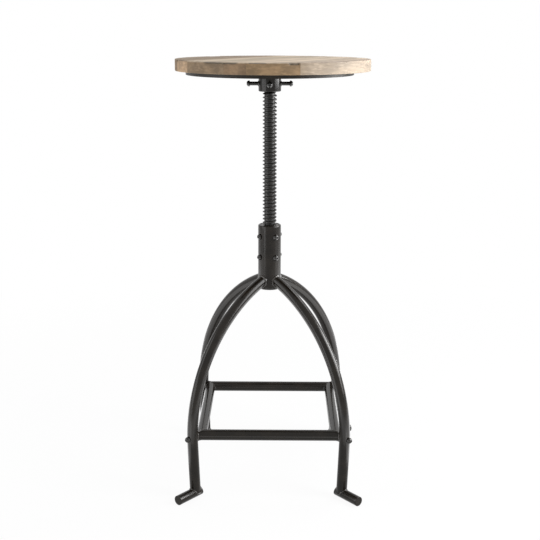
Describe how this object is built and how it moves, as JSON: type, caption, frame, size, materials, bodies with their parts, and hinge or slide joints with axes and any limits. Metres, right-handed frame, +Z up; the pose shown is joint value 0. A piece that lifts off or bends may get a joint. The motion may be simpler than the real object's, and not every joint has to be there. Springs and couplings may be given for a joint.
{
  "type": "bar stool",
  "caption": "Screw-height bar stool: round plank seat on a threaded steel spindle, sleeve, bent tube legs, bar feet and a square tube footrest.",
  "frame": {"origin": "on the floor under the middle of the round seat at rest, within 4 mm of the bottom centre of the bounding box; the lifting screw's axis is 5.5 mm to the left of it, at x = -0.0055", "axes": "+Z up, +X to the stool's right and +Y to its rear as the picture shows it; the footrest rails run along X and Y, the legs stand on the diagonals and each foot bar is turned 5 degrees to the front"},
  "size_m": [0.3588, 0.3533, 0.7945],
  "materials": {
    "wood_grey_brown": "weathered, matt",
    "wood_mid_brown": "weathered, matt",
    "wood_tan": "weathered, matt",
    "wood_pale": "weathered, matt",
    "dark_steel": "satin, worn",
    "bare_steel": "oiled, dark",
    "nut_steel": "machined",
    "black_bolts": "black oxide",
    "zinc_steel": "zinc plated"
  },
  "bodies": {
    "base": {"sleeve": "dark_steel", "spindle_nut": "nut_steel", "sleeve_screws": "black_bolts", "leg_front_left": "dark_steel", "leg_front_right": "dark_steel", "leg_rear_left": "dark_steel", "leg_rear_right": "dark_steel", "foot_front_left": "dark_steel", "foot_front_right": "dark_steel", "foot_rear_left": "dark_steel", "foot_rear_right": "dark_steel", "rail_front": "dark_steel", "rail_right": "dark_steel", "rail_rear": "dark_steel", "rail_left": "dark_steel", "footrest_bolts": "black_bolts", "footrest_nuts": "zinc_steel"},
    "stop_washer": {"stop_washer": "zinc_steel"},
    "seat": {"seat_board_1": "wood_grey_brown", "seat_board_2": "wood_mid_brown", "seat_board_3": "wood_mid_brown", "seat_board_4": "wood_tan", "seat_board_5": "wood_pale", "seat_board_6": "wood_pale", "seat_plate": "dark_steel", "seat_screws": "zinc_steel", "seat_hub": "dark_steel", "hub_bolts": "black_bolts", "spindle": "bare_steel", "stop_bolt": "zinc_steel"}
  },
  "joints": [
    {"name": "spindle_rise", "type": "slide", "parent": "base", "child": "stop_washer", "axis": [0, 0, 1], "range_m": [-0.2449, 0.0137]},
    {"name": "seat_turn", "type": "hinge", "parent": "stop_washer", "child": "seat", "pos_m": [-0.0055, 0, 0.6], "axis": [0, 0, 1], "range_deg": [-12960, 720]}
  ],
  "couplings": [
    {"joint": "spindle_rise", "follows": "seat_turn", "m_per_rad": 0.0010823}
  ]
}
